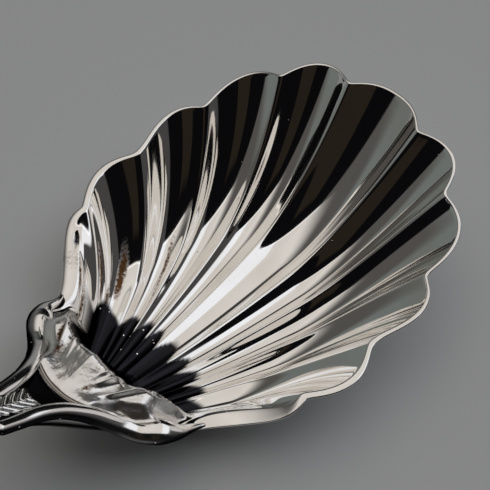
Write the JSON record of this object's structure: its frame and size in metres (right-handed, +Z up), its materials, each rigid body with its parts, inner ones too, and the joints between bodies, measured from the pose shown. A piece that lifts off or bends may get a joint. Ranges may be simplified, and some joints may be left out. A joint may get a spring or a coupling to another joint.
{
  "type": "sugar shell spoon",
  "caption": "Silver spoon with a fluted scallop-shell bowl soldered into the flared yoke of an arched, leaf-ornamented stem.",
  "frame": {"origin": "on the table, under the middle of the spoon's length and width", "axes": "+X along the spoon from the terminal to the tip of the bowl, +Y across it, +Z up from the table, with the bowl open upwards"},
  "size_m": [0.1496, 0.0416, 0.0215],
  "materials": {
    "bowl_silver": "mirror-polished sterling silver with light scratches, pits and brown tarnish in the flutes",
    "stem_silver": "polished sterling silver, oxidised dark in the recesses of the struck leaf ornament",
    "silver_solder": "dull silver solder, dressed with a file and darkened"
  },
  "bodies": {
    "root": {"shell_bowl": "bowl_silver", "stem": "stem_silver", "solder_seam": "silver_solder"}
  },
  "joints": []
}
